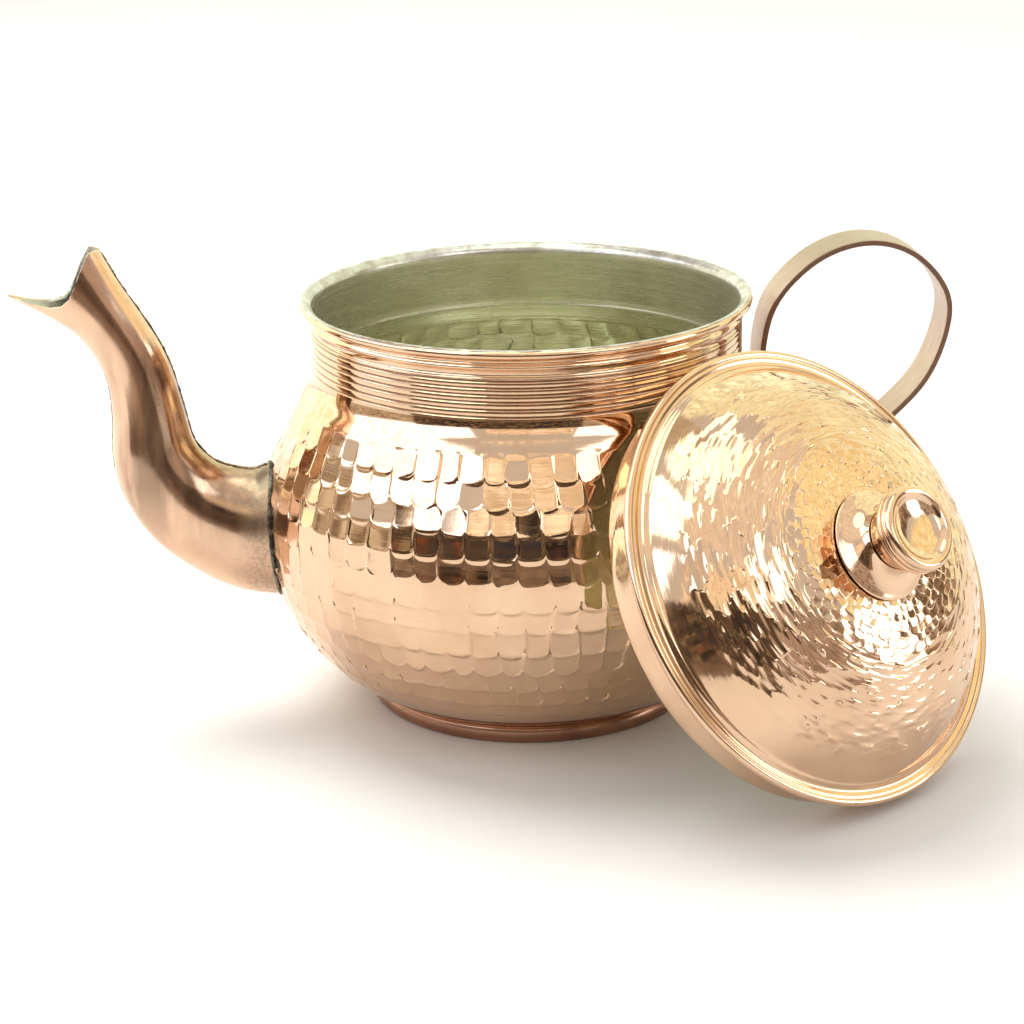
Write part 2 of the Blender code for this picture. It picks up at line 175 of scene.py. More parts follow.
def smooth(stations, per_span=12):
    """A Catmull-Rom curve through rows of numbers, as an array."""
    points = np.array(stations, float)
    before = np.vstack([points[:1], points[:-2]])
    after = np.vstack([points[2:], points[-1:]])
    rows = []
    for a, b, c, d in zip(before, points[:-1], points[1:], after):
        for t in np.arange(per_span) / per_span:
            cubic = 2 * a - 5 * b + 4 * c - d + t * (3 * (b - c) + d - a)
            rows.append(b + 0.5 * t * ((c - a) + t * cubic))
    return np.vstack(rows + [points[-1]])


def eased(values, reach):
    """Rows of numbers averaged with their neighbours, for a line without kinks."""
    kernel = np.hanning(2 * reach + 3)[1:-1]
    kernel /= kernel.sum()
    first = 2 * values[:1] - values[reach:0:-1]
    last = 2 * values[-1:] - values[-2:-reach - 2:-1]
    padded = np.concatenate([first, values, last])
    return np.stack([np.convolve(column, kernel, "valid") for column in padded.T], axis=1)


def unit(rows):
    """Each row as a direction of length 1."""
    return rows / np.linalg.norm(rows, axis=1)[:, None]


def read_at(rows, steps):
    """Rows of numbers read at places between them."""
    return np.stack([np.interp(steps, np.arange(len(rows)), column) for column in rows.T], axis=1)


class Curve:
    """A turned profile of (height, radius) rows, read by the length along it."""

    def __init__(self, rows, blur=0.0):
        rows = np.array(rows, float)
        steps = np.hypot(*np.diff(rows, axis=0).T)
        length = np.concatenate([[0.0], np.cumsum(steps)])
        self.length = length[-1]
        self.s = np.linspace(0.0, self.length, 800)
        self.z = np.interp(self.s, length, rows[:, 0])
        self.r = np.interp(self.s, length, rows[:, 1])
        if blur:
            spacing = self.s[1]
            reach = int(3 * blur / spacing)
            kernel = np.exp(-0.5 * (np.arange(-reach, reach + 1) * spacing / blur) ** 2)
            kernel /= kernel.sum()
            self.z = self.blurred(self.z, kernel, reach)
            self.r = self.blurred(self.r, kernel, reach)
        self.tz = np.gradient(self.z, self.s)
        self.tr = np.gradient(self.r, self.s)

    @staticmethod
    def blurred(values, kernel, reach):
        first = 2 * values[0] - values[reach:0:-1]
        last = 2 * values[-1] - values[-2:-reach - 2:-1]
        return np.convolve(np.concatenate([first, values, last]), kernel, "valid")

    def at(self, s):
        """Radius, height and outward normal (radial, up) at a length along the profile."""
        z, r = np.interp(s, self.s, self.z), np.interp(s, self.s, self.r)
        nr, nz = -np.interp(s, self.s, self.tz), np.interp(s, self.s, self.tr)
        size = np.hypot(nr, nz)
        return r, z, nr / size, nz / size

    def where(self, height):
        """The length along the profile at which it has this height, on a curve that only falls."""
        return float(np.interp(-height, -self.z, self.s))


def on_axis(r, z, angle):
    return np.stack([r * np.cos(angle), r * np.sin(angle), z + 0.0 * angle], axis=-1)


def rings(rows, columns):
    """Plain turned rings from (height, radius) rows."""
    angle = math.tau * np.arange(columns) / columns
    return np.stack([on_axis(r + 0.0 * angle, z + 0.0 * angle, angle) for z, r in rows])


def squeezed(x):
    """Moves the points of a span towards its two ends, so that its edges stay crisp."""
    return x - 0.115 * np.sin(math.tau * x)


def band_cells(columns, target, spread):
    """The columns at which the marks of one band meet."""
    count = max(3, round(columns / target))
    edges = (np.arange(count) + RNG.uniform(0, 1)) * columns / count
    edges = edges + RNG.uniform(-spread, spread, count) * columns / count
    return np.unique(np.round(edges).astype(int) % columns)


def band_layout(edges, columns, jitter):
    """For each column: its mark to the left and right, its place across the mark, and its angle."""
    count = len(edges)
    column = np.arange(columns)
    right = (np.searchsorted(edges, column, "right") - 1) % count
    start = edges[right]
    width = (edges[(right + 1) % count] - start) % columns
    across = ((column - start) % columns) / width
    left = np.where(across == 0, (right - 1) % count, right)
    moved = RNG.uniform(-jitter, jitter, count)
    low, high = moved[right], moved[(right + 1) % count]
    place = start + low + squeezed(across) * (width + high - low)
    # A column that wraps round past the first edge gets its angle a turn back.
    place = np.where(column < start, place - columns, place)
    middle = edges + 0.5 * ((np.roll(edges, -1) - edges) % columns)
    return left, right, across, math.tau * place / columns, math.tau * middle / columns


def hammered(curve, bounds, columns, looks):
    """
    Bands of flat hammer marks on a turned surface, as rows of points on the smooth surface, its
    normals, and how far each point stands off it. bounds are lengths along the curve, and looks
    gives each band's marks.
    """
    layouts = [
        band_layout(band_cells(columns, look["columns"], look["spread"]), columns, look["jitter"])
        for look in looks
    ]
    plain = math.tau * np.arange(columns) / columns
    lines = [np.full(columns, bounds[0])]
    for look, layout, bound in zip(looks, layouts, bounds[1:]):
        bulge = np.abs(2 * layout[2] - 1) ** 2.6
        lines.append(bound + look["scallop"] * (0.4 - bulge))
    points, normals, offsets = [], [], []
    for k, (look, layout) in enumerate(zip(looks, layouts)):
        left, right, across, angle, middle = layout
        above = layouts[k - 1][3] if k else plain
        below = layouts[k + 1][3] if k + 1 < len(looks) else plain
        count = len(middle)
        centre_s = 0.5 * (bounds[k] + bounds[k + 1])
        r, z, nr, nz = curve.at(np.full(count, centre_s))
        out = on_axis(nr, nz, middle)
        round_way = on_axis(np.ones(count), 0.0, middle + math.pi / 2)
        along = np.cross(round_way, out)
        tilt_round = RNG.normal(0, look["tilt_round"], count)[:, None]
        tilt_along = RNG.normal(look["lean"], look["tilt_along"], count)[:, None]
        plane = unit(out + tilt_round * round_way + tilt_along * along)
        depth = look["depth"] * RNG.uniform(0.6, 1.3, count)[:, None]
        centre = on_axis(r, z, middle) - depth * out
        bowl = look["bowl"] * RNG.uniform(0.3, 1.6, count)
        for i in range(look["rows"] + 1):
            f = squeezed(i / look["rows"])
            edge = abs(2 * f - 1) ** 3
            other = above if f < 0.5 else below
            # Angles a turn apart mean the same place, so the nearer one is used.
            other = other + math.tau * np.round((angle - other) / math.tau)
            here = angle * (1 - 0.5 * edge) + other * 0.5 * edge
            s = lines[k] + (lines[k + 1] - lines[k]) * f
            r, z, nr, nz = curve.at(s)
            p, m = on_axis(r, z, here), on_axis(nr, nz, here)
            stand = np.zeros(columns)
            for mark in (left, right):
                reach = centre[mark] - p
                flat = (reach * plane[mark]).sum(1) / (m * plane[mark]).sum(1)
                stand += 0.5 * (flat + bowl[mark] * (reach ** 2).sum(1))
            if i in (0, look["rows"]):
                stand += look["ridge"]
            else:
                stand += look["ridge"] * (across == 0)
            if i == 0 and k:
                offsets[-1] = 0.5 * (offsets[-1] + stand)
                continue
            points.append(p)
            normals.append(m)
            offsets.append(stand if i else 0.5 * stand)
    offsets[-1] = 0.5 * offsets[-1]
    return np.stack(points), np.stack(normals), np.stack(offsets)


def mesh_object(name, points, faces):
    mesh = bpy.data.meshes.new(name)
    mesh.from_pydata(points, [], faces)
    obj = bpy.data.objects.new(name, mesh)
    bpy.context.scene.collection.objects.link(obj)
    return obj


def grid_object(name, points, wrap_rows=False, caps=False):
    """An object from rows and columns of points, in millimetres. Its rows run in closed rings."""
    rows, columns = points.shape[:2]
    i, j = np.meshgrid(np.arange(rows if wrap_rows else rows - 1), np.arange(columns), indexing="ij")
    after_i, after_j = (i + 1) % rows, (j + 1) % columns
    corners = [i * columns + j, after_i * columns + j, after_i * columns + after_j, i * columns + after_j]
    faces = np.stack([corner.ravel() for corner in corners], 1).tolist()
    if caps:
        faces.append(list(range(columns)))
        faces.append(list(range(rows * columns - 1, (rows - 1) * columns - 1, -1)))
    obj = mesh_object(name, (points.reshape(-1, 3) * MM).tolist(), faces)
    obj.data.validate()
    obj.data.shade_smooth()
    return obj


def turned_object(name, rows, columns):
    """A closed turned solid: its profile starts and ends on the axis, or runs round a closed outline."""
    rows = [(z, max(r, 0.0)) for z, r in rows]
    on_end = rows[0][1] < 1e-6
    obj = grid_object(name, rings(rows, columns), wrap_rows=not on_end)
    if on_end:
        merge(obj)
    return obj


def merge(obj):
    work = bmesh.new()
    work.from_mesh(obj.data)
    bmesh.ops.remove_doubles(work, verts=work.verts, dist=1e-6)
    work.to_mesh(obj.data)
    work.free()


def sharpen(obj, degrees=40):
    obj.data.set_sharp_from_angle(angle=math.radians(degrees))


def dress(obj, look, slot, body, *nodes):
    """Gives a piece its material, says what it rides on and which CAD nodes it stands for."""
    obj.data.materials.clear()
    obj.data.materials.append(look)
    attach(obj, body)
    if nodes:
        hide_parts(*nodes)


# ---- materials

class Look:
    """A Principled metal whose colour, roughness and bump come from procedural noise."""

    def __init__(self, name, roughness, metallic=1.0, place=None):
        self.material = bpy.data.materials.new(name)
        self.material.use_nodes = True
        self.tree = self.material.node_tree
        self.shader = self.tree.nodes["Principled BSDF"]
        self.shader.inputs["Metallic"].default_value = metallic
        self.shader.inputs["Roughness"].default_value = roughness
        self.place = self.add("ShaderNodeTexCoord", {}).outputs["Object"]
        if place:
            back = place.inverted()
            moved = {"Vector": self.place, "Location": back.to_translation(), "Rotation": back.to_euler()}
            self.place = self.add("ShaderNodeMapping", moved).outputs[0]

    def add(self, kind, sockets, **settings):
        """A node with its settings, and with its sockets linked or set."""
        made = self.tree.nodes.new(kind)
        for name, value in settings.items():
            setattr(made, name, value)
        for socket, value in sockets.items():
            self.feed(made, socket, value)
        return made

    def feed(self, node, socket, value):
        """Links an output to a socket, or sets the socket to a number or a colour."""
        if hasattr(value, "is_output"):
            self.tree.links.new(value, node.inputs[socket])
        else:
            node.inputs[socket].default_value = value

    def maths(self, operation, a, b=0.0):
        return self.add("ShaderNodeMath", {0: a, 1: b}, operation=operation).outputs[0]

    def plus(self, a, b):
        return self.maths("ADD", a, b)

    def times(self, a, b):
        return self.maths("MULTIPLY", a, b)

    def position(self):
        """The coordinates along the three axes."""
        return self.add("ShaderNodeSeparateXYZ", {0: self.place}).outputs

    def from_axis(self, x, y):
        return self.maths("SQRT", self.plus(self.times(x, x), self.times(y, y)))

    def noise(self, place, scale, detail=3.0, roughness=0.55):
        sockets = {"Vector": place, "Scale": scale, "Detail": detail, "Roughness": roughness}
        return self.add("ShaderNodeTexNoise", sockets).outputs[0]

    def spread(self, value, low, high, to_low=0.0, to_high=1.0):
        sockets = {"From Min": low, "From Max": high, "To Min": to_low, "To Max": to_high, "Value": value}
        return self.add("ShaderNodeMapRange", sockets).outputs[0]

    def mixed(self, share, first, second):
        sockets = {0: share}
        for socket, colour in ((6, first), (7, second)):
            sockets[socket] = colour if hasattr(colour, "is_output") else (*colour, 1.0)
        return self.add("ShaderNodeMix", sockets, data_type="RGBA").outputs[2]

    def stretched(self, scale):
        """Texture coordinates stretched along each axis by its own scale."""
        return self.add("ShaderNodeMapping", {"Vector": self.place, "Scale": scale}).outputs[0]

    def turned_way(self, across, around):
        """Coordinates that change quickly across a turned piece's lines and slowly along them."""
        x, y, z = self.position()
        out = self.times(self.from_axis(x, y), across)
        slow = self.times(self.plus(x, self.times(y, 0.73)), around)
        return self.add("ShaderNodeCombineXYZ", {0: out, 1: self.times(z, across), 2: slow}).outputs[0]

    def pits(self, scale, size, share):
        """Small dots, 1 inside and 0 outside, on a share of the cells of a random grid."""
        cells = self.add("ShaderNodeTexVoronoi", {"Vector": self.place, "Scale": scale})
        dot = self.spread(cells.outputs["Distance"], size, size * 0.5)
        parts = self.add("ShaderNodeSeparateColor", {0: cells.outputs["Color"]})
        return self.times(dot, self.maths("LESS_THAN", parts.outputs[0], share))

    def bump(self, height, distance):
        node = self.add("ShaderNodeBump", {"Height": height, "Distance": distance, "Strength": 1.0})
        self.feed(self.shader, "Normal", node.outputs[0])

    def finish(self, colour, roughness):
        self.feed(self.shader, "Base Color", colour)
        self.feed(self.shader, "Roughness", roughness)
        return self.material


def copper(name, light, dark, gloss, lines, line_bump, pit_share=0.08, place=None, grooved=False):
    """Copper with blotches of tarnish, turned lines of scale (across, around), a few pits, and painted
    shade in the neck's grooves if grooved is set.
    """
    look = Look(name, gloss, place=place)
    streak = look.noise(look.turned_way(*lines), 1.0, 2.0)
    blotch = look.noise(look.place, 38.0, 4.0, 0.6)
    fine = look.noise(look.place, 900.0, 2.0)
    pit = look.pits(150.0, 0.055, pit_share)
    tint = look.mixed(look.spread(blotch, 0.38, 0.68), light, dark)
    tint = look.mixed(look.times(look.spread(streak, 0.5, 0.75), 0.35), tint, dark)
    tint = look.mixed(look.times(pit, 0.75), tint, PIT)
    # Painted shade: the colour is darkened inside the neck's grooves, where shade falls.
    if grooved:
        x, y, z = look.position()
        deep = look.spread(look.from_axis(x, y), (NECK_RADIUS - 0.08) * MM, (NECK_RADIUS - 0.3) * MM)
        above = look.maths("GREATER_THAN", z, GROOVED[0] * MM)
        below = look.maths("LESS_THAN", z, GROOVED[1] * MM)
        groove_shade = look.times(deep, look.times(above, below))
        tint = look.mixed(look.times(groove_shade, 0.8), tint, GROOVE_SHADE)
    rough = look.spread(streak, 0.3, 0.75, gloss * 0.75, gloss * 1.5)
    rough = look.plus(rough, look.spread(blotch, 0.45, 0.75, 0.0, gloss * 0.6))
    relief = look.plus(streak, look.times(fine, 0.25))
    relief = look.maths("SUBTRACT", relief, pit)
    look.bump(relief, line_bump)
    return look.finish(tint, rough)


def tin(name, tones, place=None, rim=None):
    """Wiped tin, in three tones. Above the height rim it is rubbed grey."""
    look = Look(name, 0.3, 0.8, place)
    streak = look.noise(look.turned_way(1300.0, 30.0), 1.0, 3.0)
    blotch = look.noise(look.place, 45.0, 5.0, 0.65)
    smear = look.noise(look.stretched((60.0, 60.0, 16.0)), 1.0, 3.0)
    tint = look.mixed(look.spread(blotch, 0.35, 0.7), *tones[:2])
    tint = look.mixed(look.times(look.spread(smear, 0.52, 0.72), 0.45), tint, tones[2])
    if rim:
        height = look.plus(look.position()[2], look.times(blotch, 0.001))
        patches = look.spread(look.noise(look.place, 120.0, 5.0, 0.7), 0.42, 0.62)
        rubbed = look.mixed(patches, RUBBED, RUBBED_DARK)
        tint = look.mixed(look.spread(height, rim, rim + 0.0012), tint, rubbed)
    rough = look.spread(streak, 0.3, 0.7, 0.18, 0.32)
    look.bump(look.plus(streak, look.times(blotch, 1.2)), 0.00006)
    return look.finish(tint, rough)


def spout_copper(name):
    """Satin copper left brown and grey by the heat of soldering, most of all near the root; the brown band
    up its middle is partly heat stain and partly a painted dark reflection.
    """
    look = Look(name, 0.15)
    x, y, z = look.position()
    wipe = look.noise(look.stretched((260.0, 260.0, 40.0)), 1.0, 3.0)
    blotch = look.noise(look.place, 70.0, 5.0, 0.65)
    fine = look.noise(look.place, 900.0, 3.0, 0.7)
    cloud = look.noise(look.stretched((100.0, 100.0, 14.0)), 1.0, 3.0)
    # A brown band up the spout's middle: partly heat stain from soldering, partly a painted dark reflection
    # of the floor beyond the table.
    stain_and_dark_reflection = look.times(look.spread(z, 0.050, 0.074), look.spread(z, 0.126, 0.110))
    stain_and_dark_reflection = look.times(stain_and_dark_reflection, look.spread(cloud, 0.37, 0.55))
    root = look.spread(look.plus(x, look.times(blotch, 0.012)), -0.0855, -0.0765)
    ragged = look.plus(look.maths("ABSOLUTE", y), look.times(fine, 0.0016))
    edge = look.spread(ragged, 0.0024, 0.0012)
    speck = look.pits(420.0, 0.10, 0.22)
    tint = look.mixed(look.spread(blotch, 0.40, 0.68), (0.80, 0.53, 0.37), (0.70, 0.44, 0.30))
    tint = look.mixed(look.times(stain_and_dark_reflection, 0.85), tint, (0.28, 0.19, 0.13))
    flux = look.times(root, look.spread(fine, 0.36, 0.62))
    tint = look.mixed(look.times(flux, 0.6), tint, (0.24, 0.23, 0.17))
    tint = look.mixed(look.times(edge, 0.6), tint, (0.22, 0.14, 0.09))
    tint = look.mixed(look.times(speck, 0.45), tint, (0.25, 0.16, 0.11))
    rough = look.plus(look.spread(wipe, 0.3, 0.7, 0.10, 0.19), look.times(root, 0.2))
    rough = look.plus(rough, look.times(speck, 0.15))
    look.bump(look.plus(wipe, look.times(fine, 0.5)), 0.00003)
    return look.finish(tint, rough)


def solder(name, light, dark, share):
    look = Look(name, 0.45, 0.8)
    lumps = look.noise(look.place, 420.0, 5.0, 0.7)
    flux = look.noise(look.place, 160.0, 4.0, 0.65)
    tint = look.mixed(look.spread(flux, share - 0.08, share + 0.06), dark, light)
    tint = look.mixed(look.times(look.spread(lumps, 0.5, 0.62), 0.6), tint, dark)
    rough = look.spread(lumps, 0.3, 0.7, 0.32, 0.62)
    look.bump(lumps, 0.0003)
    return look.finish(tint, rough)


def strap_copper(name):
    """Satin copper, with the brown edges that shears leave along both sides of a strap."""
    look = Look(name, 0.3)
    streak = look.noise(look.stretched((140.0, 900.0, 140.0)), 1.0, 3.0)
    blotch = look.noise(look.place, 55.0, 4.0, 0.6)
    side = look.maths("ABSOLUTE", look.position()[1])
    ragged = look.plus(side, look.times(blotch, 0.0002))
    half = STRAP_WIDTH / 2 * MM
    edge = look.spread(ragged, half - 0.00025, half + 0.00002)
    tint = look.mixed(look.spread(blotch, 0.35, 0.7), (0.48, 0.345, 0.275), (0.41, 0.285, 0.22))
    tint = look.mixed(look.times(edge, 0.9), tint, (0.20, 0.11, 0.075))
    rough = look.plus(look.spread(streak, 0.3, 0.7, 0.26, 0.40), look.times(edge, 0.15))
    look.bump(streak, 0.00004)
    return look.finish(tint, rough)


def steel(name):
    look = Look(name, 0.35)
    streak = look.noise(look.stretched((900.0, 900.0, 90.0)), 1.0, 3.0)
    tint = look.mixed(look.spread(streak, 0.35, 0.65), (0.62, 0.61, 0.58), (0.44, 0.43, 0.40))
    look.bump(streak, 0.00005)
    return look.finish(tint, look.spread(streak, 0.3, 0.7, 0.28, 0.45))


# ---- pot

def rim_arc(start, end, radius, count):
    """Rows round the rolled rim, by angle in degrees up from straight out."""
    height, centre = RIM_CENTRE
    angles = np.radians(np.linspace(start, end, count))
    return [(height + radius * math.sin(a), centre + radius * math.cos(a)) for a in angles]


def neck_rows():
    """The neck's outer side, downwards: the bead and cove under the rim, then the turned grooves."""
    cove = ((122.6, 65.4), (121.7, 64.75), (120.3, 65.45), (119.2, 64.8), (118.0, 64.3), (117.0, 64.85))
    rows = [tuple(row) for row in smooth(cove, 5)]
    for height in GROOVE_HEIGHTS:
        for along, depth in GROOVE_SHAPE:
            rows.append((height - along * GROOVE_HALF_WIDTH, NECK_RADIUS - depth * GROOVE_DEPTH))
    return rows + [(104.85, NECK_RADIUS)]


def belly():
    return Curve(smooth(BELLY), blur=1.1)


def pot_surface(curve):
    """The hammered belly's ends along the curve, and what hammered() gives for it."""
    top, bottom = curve.where(HAMMERED_TOP), curve.where(HAMMERED_BOTTOM)
    bounds = np.linspace(top, bottom, POT_MARK_BANDS + 1)
    bounds[1:-1] += RNG.uniform(-0.45, 0.45, POT_MARK_BANDS - 1)
    looks = []
    for k in range(POT_MARK_BANDS):
        low_down = k / (POT_MARK_BANDS - 1)
        looks.append(dict(
            columns=POT_MARK_COLUMNS, spread=0.06, jitter=0.5, rows=7, scallop=2.1 + 1.1 * low_down,
            tilt_round=0.030 - 0.012 * low_down, tilt_along=0.024 - 0.006 * low_down, depth=0.085,
            bowl=0.001 + 0.004 * low_down, ridge=0.022 + 0.06 * low_down, lean=0.0,
        ))
    # The last band ends on a plain ring, where the smooth part below begins.
    looks[-1]["scallop"] = 0.0
    return (bounds[0], bounds[-1]), hammered(curve, bounds, POT_COLUMNS, looks)


def smooth_part(curve, start, end, step, wobble=0.0):
    rows = []
    for s in np.linspace(start, end, max(2, round((end - start) / step) + 1)):
        r, z, nr, nz = curve.at(s)
        off = RNG.normal(0, wobble) if wobble else 0.0
        rows.append((float(z + nz * off), float(r + nr * off)))
    return rows


def inner_rows(curve, depth, count, upward=True):
    rows = []
    for s in np.linspace(0.3, curve.length - 0.3, count):
        r, z, nr, nz = curve.at(s)
        rows.append((float(z - nz * depth), float(r - nr * depth)))
    return rows[::-1] if upward else rows


def strainer_cutter():
    """Seven rods through the wall behind the spout, as one cutter."""
    points, faces = [], []
    sides = 24
    for index in range(7):
        turn = math.radians(60 * index)
        out = 0.0 if index == 6 else STRAINER_RING
        y, z = out * math.sin(turn), STRAINER_HEIGHT + out * math.cos(turn)
        start = len(points)
        for x in STRAINER_REACH:
            for step in range(sides):
                a = math.tau * step / sides
                across, up = y + STRAINER_HOLE * math.cos(a), z + STRAINER_HOLE * math.sin(a)
                points.append((x * MM, across * MM, up * MM))
        for step in range(sides):
            after = (step + 1) % sides
            faces.append((start + step, start + sides + step, start + sides + after, start + after))
        faces.append(tuple(start + step for step in range(sides)))
        faces.append(tuple(start + sides + step for step in reversed(range(sides))))
    return mesh_object("strainer_cutter", points, faces)


def cut(obj, cutter):
    modifier = obj.modifiers.new("Holes", "BOOLEAN")
    modifier.operation = "DIFFERENCE"
    modifier.object = cutter
    modifier.solver = "MANIFOLD"
    bpy.context.view_layer.update()
    made = bpy.data.meshes.new_from_object(obj.evaluated_get(bpy.context.evaluated_depsgraph_get()))
    obj.modifiers.clear()
    obj.data = made
    made.shade_smooth()


def make_pot(looks):
    curve = belly()
    (top, bottom), (points, normals, stand) = pot_surface(curve)
    outer = points + normals * stand[..., None]
    upper = rim_arc(130, -128, RIM_RADIUS, 20) + neck_rows()
    upper += smooth_part(curve, 0.0, top, 0.7, 0.006)[:-1]
    lower = smooth_part(curve, bottom, curve.length, 0.9)[1:]
    lower += [(5.7, BASE_SOCKET), (BASE_THICKNESS + 0.3, BASE_SOCKET)]
    back = [(BASE_THICKNESS + 0.3, BASE_SOCKET - WALL), (5.6, BASE_SOCKET - WALL)]
    back += inner_rows(curve, 0.55, 26) + [(105.0, 64.3), (113.0, 64.3), (123.0, 64.3)]
    back += [(123.9, 64.5), (124.6, 65.0)]
    shell = np.concatenate([rings(upper, POT_COLUMNS), outer, rings(lower + back, POT_COLUMNS)])
    pot = grid_object("pot_copper", shell, wrap_rows=True)
    lining = make_lining(curve, bottom)
    cutter = strainer_cutter()
    cut(pot, cutter)
    cut(lining, cutter)
    bpy.data.objects.remove(cutter)
    dress(pot, looks["pot"], "hammered_copper", "pot", "pot_body")
    dress(lining, looks["tin"], "tin", "pot")

    rows = [(BASE_THICKNESS, 0.0), (BASE_THICKNESS, BASE_SOCKET + 0.3), (BASE_CUP_TOP, BASE_SOCKET + 0.3)]
    rows += [tuple(row) for row in smooth(BASE_BAND, 5)] + [(0.0, 0.0)]
    base = turned_object("base_band", rows, 240)
    sharpen(base)
    dress(base, looks["band"], "plain_copper", "pot", "base_plate")


def make_lining(curve, bottom):
    """The tin inside the pot, dented by the blows outside and wiped over the rim in a lumpy lip."""
    bounds = np.linspace(SHOULDER, bottom, POT_MARK_BANDS + 3)
    bands = [LINING_MARKS] * (POT_MARK_BANDS + 1) + [dict(LINING_MARKS, scallop=0.0)]
    points, normals, stand = hammered(curve, bounds, POT_COLUMNS, bands)
    inside = points - normals * (WALL - np.minimum(stand, INNER_STAND))[..., None]
    floor = BASE_THICKNESS + 0.1
    socket = BASE_SOCKET - WALL - 0.15
    below = [(floor + 0.1, 0.0), (floor + 0.1, 20.0), (floor + 0.1, socket - 2.0)]
    below += [(floor + 0.5, socket - 0.6), (floor + 1.6, socket), (6.0, socket)]
    bend = reversed(smooth_part(curve, bottom, curve.length, 0.9)[1:-1])
    below += [(z + 0.35, r - WALL) for z, r in bend if r - WALL > socket]
    above = [(z - 0.5, r - WALL) for z, r in reversed(smooth_part(curve, 1.2, SHOULDER, 0.7)[:-1])]
    neck = [(104.4, 64.25), (105.0, 63.85), (105.6, 63.68), (106.2, 63.8), (106.9, NECK_BORE)]
    neck += [(109.0, NECK_BORE), (113.2, NECK_BORE), (118.0, NECK_BORE - 0.03), (121.2, NECK_BORE)]
    neck += [(123.0, 64.06), (124.1, 64.3), (124.85, 64.8)]
    over = rim_arc(150, 62, RIM_RADIUS + 0.08, 9)
    under = rim_arc(62, 150, RIM_RADIUS + 0.02, 9)
    under += [(124.7, 64.95), (124.0, 64.42), (123.0, 64.22), (105.0, 64.2)]
    under += inner_rows(curve, 0.64, 26, upward=False)
    under += [(5.4, socket + 0.1), (floor, socket + 0.1), (floor, 0.0)]
    lip = rings(over, POT_COLUMNS)
    lumps = eased(RNG.normal(0.0, 0.22, (POT_COLUMNS, len(over))), 3).T
    outward = lumps * np.linspace(0.2, 1.0, len(over))[:, None] / LIP_RADIUS
    lip[..., :2] *= 1.0 + outward[..., None]
    lip[..., 2] += 0.6 * np.maximum(lumps, 0.0)
    upward = rings(above + neck, POT_COLUMNS)
    skin = np.concatenate([rings(below, POT_COLUMNS), inside[::-1], upward, lip, rings(under, POT_COLUMNS)])
    lining = grid_object("pot_tin", skin)
    merge(lining)
    return lining


# ---- spout

def spout_lines(shrink):
    """The spout's surface as lines from root to mouth, spaced round half of each section."""
    stations = eased(smooth(SPOUT, 16), 8)
    centre = stations[:, :2]
    along = unit(eased(unit(np.gradient(centre, axis=0)), 16))
    angle = np.linspace(0.0, math.pi, SPOUT_COLUMNS)
    up = (stations[:, 2, None] - shrink) * np.cos(angle)
    side = (stations[:, 3, None] - shrink) * np.sin(angle) ** 0.94
    x = centre[:, 0, None] - up * along[:, 1, None]
    z = centre[:, 1, None] + up * along[:, 0, None]
    return np.stack([x, side, z], axis=-1)


def trimmed(lines, curve, gap, rows):
    """Cuts each line at the belly and at the mouth's edge, and spaces its points again."""
    edge_s, edge_z = np.array(MOUTH_EDGE).T
    height, radius = curve.z[::-1], curve.r[::-1]
    result = np.zeros((rows, lines.shape[1], 3))
    share = np.linspace(0.0, 1.0, rows)
    for j in range(lines.shape[1]):
        line = lines[:, j]
        dense = read_at(line, np.linspace(0, len(line) - 1, 1500))
        reach = np.hypot(dense[:, 0], dense[:, 1]) - np.interp(dense[:, 2], height, radius) - gap
        start = int(np.argmax(reach > 0))
        high = dense[:, 2] - np.interp(dense[:, 0], edge_s, edge_z)
        over = np.flatnonzero((high > 0) & (dense[:, 2] > MOUTH_FLOOR))
        end = int(over[0]) if len(over) else len(dense) - 1
        kept = dense[start:end + 1]
        length = np.concatenate([[0.0], np.cumsum(np.linalg.norm(np.diff(kept, axis=0), axis=1))])
        wanted = share * length[-1]
        for k in range(3):
            result[:, j, k] = np.interp(wanted, length, kept[:, k])
    return result


def placed(points, side):
    """Spout points as (distance, side, height), moved to one side of the model's middle plane."""
    moved = points.copy()
    moved[..., 0] = -points[..., 0]
    moved[..., 1] = side * (points[..., 1] + 0.12)
    return moved


def both_sides(points):
    return np.concatenate([placed(points, 1), placed(points, -1)[:, ::-1]], axis=1)


def make_spout(looks):
    curve = belly()
    outer = trimmed(spout_lines(0.0), curve, 0.35, 150)
    inner = trimmed(spout_lines(SPOUT_WALL), curve, 0.35, 150)
    for name, side in (("left", 1), ("right", -1)):
        shell = np.concatenate([placed(outer, side), placed(inner, side)[:, ::-1]], axis=1)
        if side < 0:
            shell = shell[::-1]
        half = grid_object(f"spout_{name}", shell)
        close_ends(half, shell.shape)
        dress(half, looks["spout"], "satin_copper", "pot", f"spout_half_{name}")
    front = both_sides(trimmed(spout_lines(SPOUT_WALL + 0.06), curve, 0.5, 90))
    back = both_sides(trimmed(spout_lines(SPOUT_WALL + 0.16), curve, 0.5, 90))
    lining = grid_object("spout_tin", np.concatenate([front, back[::-1]]), wrap_rows=True)
    dress(lining, looks["spout_tin"], "tin", "pot")
    make_seams(outer, looks)


def close_ends(obj, shape):
    """Closes the root and mouth ends of half a spout with strips between its outer and inner walls."""
    rows, columns = shape[:2]
    half = columns // 2
    work = bmesh.new()
    work.from_mesh(obj.data)
    work.verts.ensure_lookup_table()
    for row, flip in ((0, False), (rows - 1, True)):
        base = row * columns
        for j in range(half - 1):
            corners = [base + j, base + j + 1, base + columns - 2 - j, base + columns - 1 - j]
            if flip:
                corners.reverse()
            work.faces.new([work.verts[c] for c in corners])
    bmesh.ops.recalc_face_normals(work, faces=work.faces)
    work.to_mesh(obj.data)
    work.free()
    obj.data.shade_smooth()
    sharpen(obj, 45)


